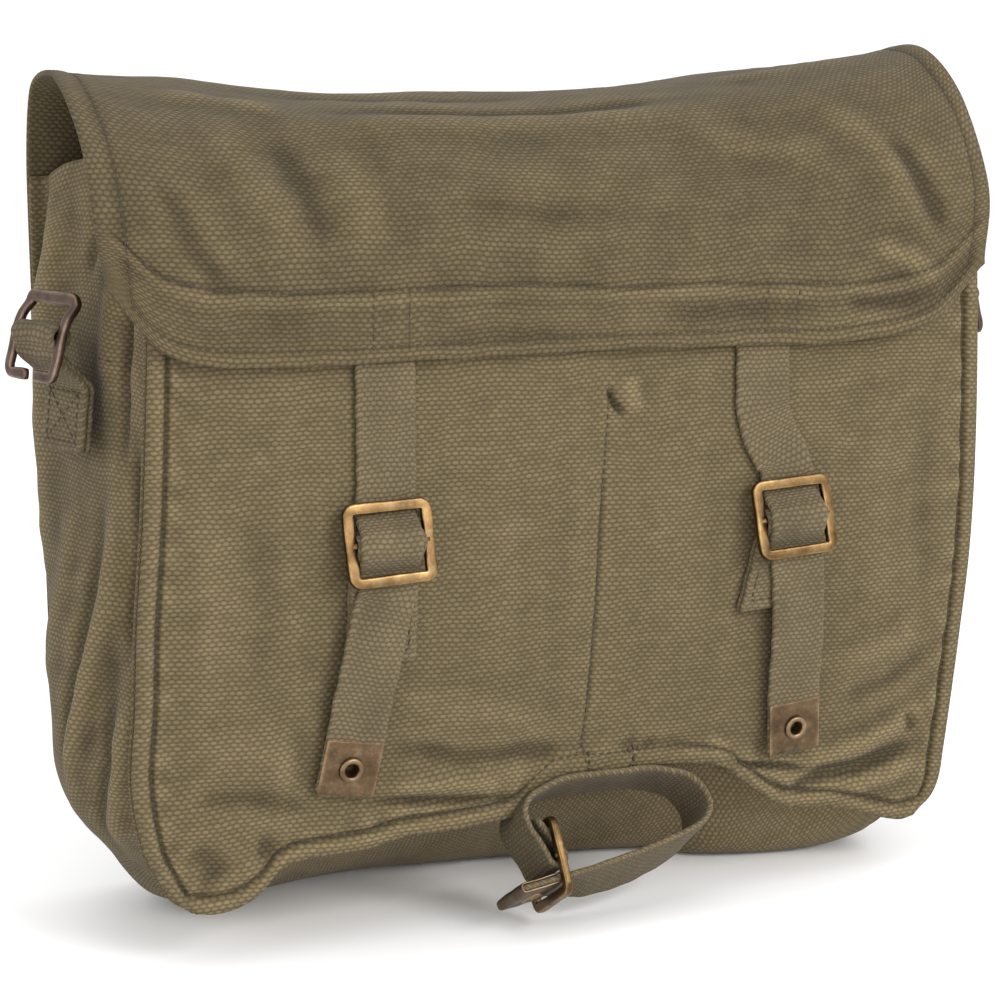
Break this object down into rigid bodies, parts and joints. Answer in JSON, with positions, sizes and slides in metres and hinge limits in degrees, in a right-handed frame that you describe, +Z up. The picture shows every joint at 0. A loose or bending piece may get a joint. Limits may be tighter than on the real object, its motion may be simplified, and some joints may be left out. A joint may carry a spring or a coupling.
{
  "type": "canvas haversack",
  "caption": "Boxed canvas haversack with a buckled flap, a webbing carrying loop under the front seam and a hook on a webbing tab at each side.",
  "frame": {"origin": "on the floor, on the line where the filled bag's base rests, under the middle of its width", "axes": "+Z up, +X to the right across the front, -Y out of the front that the flap closes over"},
  "size_m": [0.3752, 0.1339, 0.3012],
  "materials": {
    "canvas": "coarse woven cotton",
    "webbing": "woven cotton webbing",
    "buckle_brass": "worn cast",
    "tip_brass": "dull, tarnished",
    "hook_brass": "dark cast"
  },
  "bodies": {
    "bag": {"front_panel": "canvas", "back_flap": "canvas", "gusset": "canvas", "flap_strap_left": "webbing", "flap_strap_right": "webbing", "strap_tip_left": "tip_brass", "strap_tip_right": "tip_brass", "buckle_left": "buckle_brass", "buckle_right": "buckle_brass", "chape_left": "webbing", "chape_right": "webbing", "bottom_strap": "webbing", "bottom_strap_tip": "tip_brass", "bottom_buckle": "buckle_brass", "side_tab_left": "webbing", "side_tab_right": "webbing"},
    "hook_left": {"side_hook_left": "hook_brass"},
    "hook_right": {"side_hook_right": "hook_brass"}
  },
  "joints": [
    {"name": "hook_left_turn", "type": "hinge", "parent": "bag", "child": "hook_left", "pos_m": [-0.17857, -0.03932, 0.20878], "axis": [0.2913, -0.9566, 0], "range_deg": [-12, 12]},
    {"name": "hook_right_turn", "type": "hinge", "parent": "bag", "child": "hook_right", "pos_m": [0.18074, -0.03787, 0.20817], "axis": [0.1695, 0.9855, 0], "range_deg": [-12, 12]}
  ]
}
